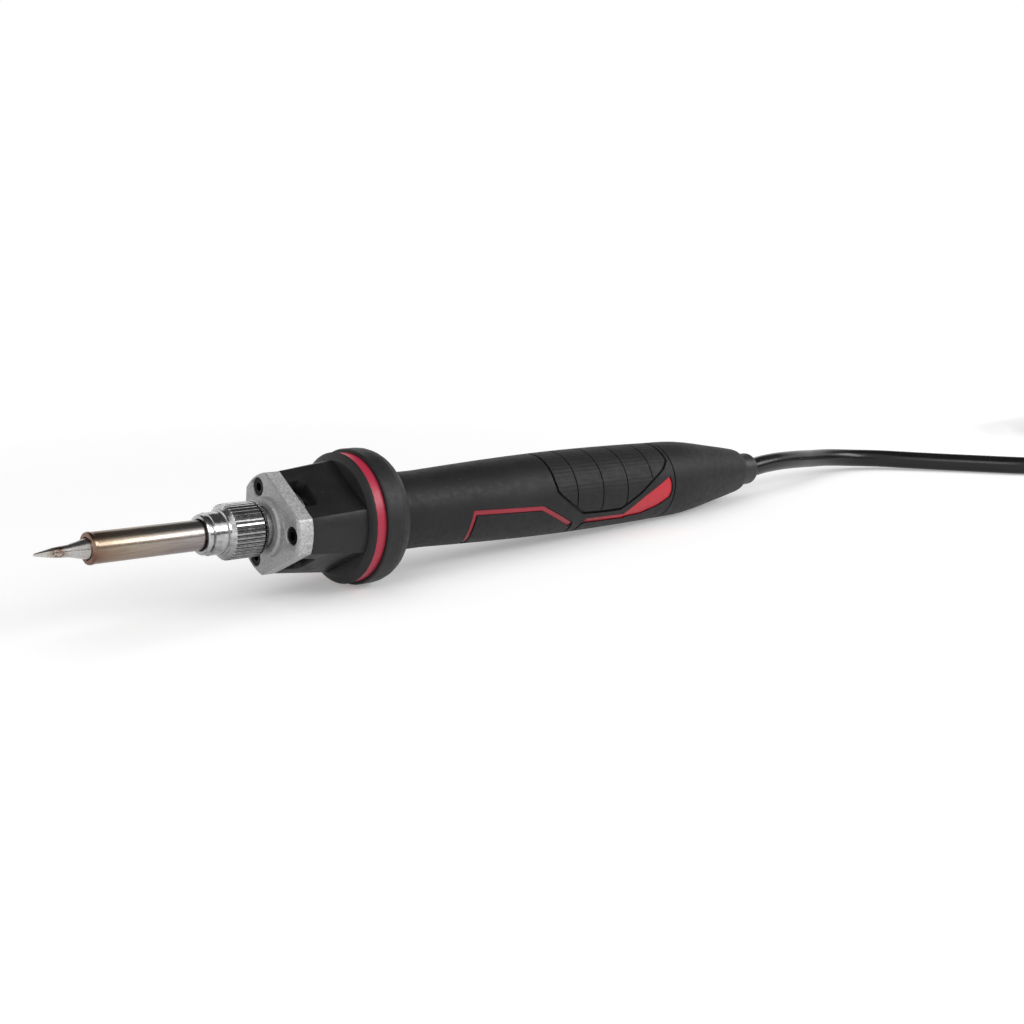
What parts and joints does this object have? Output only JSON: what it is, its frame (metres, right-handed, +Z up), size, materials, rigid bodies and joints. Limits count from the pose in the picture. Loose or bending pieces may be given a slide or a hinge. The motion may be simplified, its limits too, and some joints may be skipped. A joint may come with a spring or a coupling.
{
  "type": "soldering iron",
  "caption": "Slim soldering iron handpiece with a knurled sleeve nut, cast flange, round guard, soft grip and a hanked lead that ends in a round locking plug.",
  "frame": {"origin": "middle of the handpiece's footprint, on the bench that it lies on", "axes": "+X from the bit to the cord, along the handpiece; +Z up; the thumb pad faces up"},
  "size_m": [0.4717, 0.0634, 0.0307],
  "materials": {
    "tip_metal": "tinned and burnt at the point",
    "sleeve_steel": "heat-tinted",
    "nut_chrome": "polished",
    "steel": "satin",
    "ceramic": "glazed ceramic",
    "cast_aluminium": "cast and machined",
    "black_steel": "black oxide",
    "housing_plastic": "satin",
    "guard_rubber": "matt",
    "red_rubber": "satin",
    "red_plastic": "satin",
    "grip_rubber": "soft, matt",
    "pad_rubber": "soft, matt",
    "board": "solder mask",
    "connector_plastic": "moulded",
    "wire_red": "sleeved",
    "wire_green": "sleeved",
    "wire_blue": "sleeved",
    "cord_jacket": "glossy",
    "tie_strap": "hook and loop",
    "plug_metal": "nickel plated",
    "plug_plastic": "moulded",
    "contact_gold": "gold plated"
  },
  "bodies": {
    "handpiece": {"heater_rod": "ceramic", "heater_ferrule": "steel", "heater_leads": "wire_red", "threaded_nipple": "steel", "front_flange": "cast_aluminium", "flange_screws": "black_steel", "front_housing": "housing_plastic", "guard_ring": "guard_rubber", "red_ring": "red_rubber", "handle_core": "red_plastic", "grip_cover": "grip_rubber", "thumb_pad": "pad_rubber", "terminal_board": "board", "front_connector": "connector_plastic", "rear_connector": "connector_plastic", "earth_wire": "wire_green", "cord_wires": "wire_blue", "inner_cord": "cord_jacket", "cord_saddle": "steel", "saddle_screws": "steel", "rear_cap": "grip_rubber", "cord_collar": "plug_plastic", "cord_lead": "cord_jacket", "cord_hank": "cord_jacket", "cord_tail": "cord_jacket", "cord_tie": "tie_strap", "plug_boot": "plug_plastic", "plug_shell": "plug_metal", "plug_insert": "plug_plastic", "plug_contacts": "contact_gold", "plug_screws": "steel"},
    "sleeve": {"tip_sleeve": "sleeve_steel"},
    "nut": {"sleeve_nut": "nut_chrome"},
    "tip": {"soldering_tip": "tip_metal"},
    "locking_ring": {"plug_ring": "plug_metal"}
  },
  "joints": [
    {"name": "nut_turn", "type": "hinge", "parent": "sleeve", "child": "nut", "pos_m": [-0.06373, 0, 0.01707], "axis": [-0.9986, 0, 0.0531], "range_deg": [0, 2160]},
    {"name": "sleeve_slide", "type": "slide", "parent": "handpiece", "child": "sleeve", "axis": [-0.9986, 0, 0.0531], "range_m": [0, 0.006]},
    {"name": "tip_turn", "type": "hinge", "parent": "sleeve", "child": "tip", "pos_m": [-0.0867, 0, 0.0183], "axis": [-0.9986, 0, 0.0531], "continuous": true},
    {"name": "plug_ring_turn", "type": "hinge", "parent": "handpiece", "child": "locking_ring", "pos_m": [0.3226, -0.03894, 0.02109], "axis": [1, 0, 0], "continuous": true}
  ],
  "couplings": [
    {"joint": "sleeve_slide", "follows": "nut_turn", "m_per_rad": 0.00015915}
  ]
}
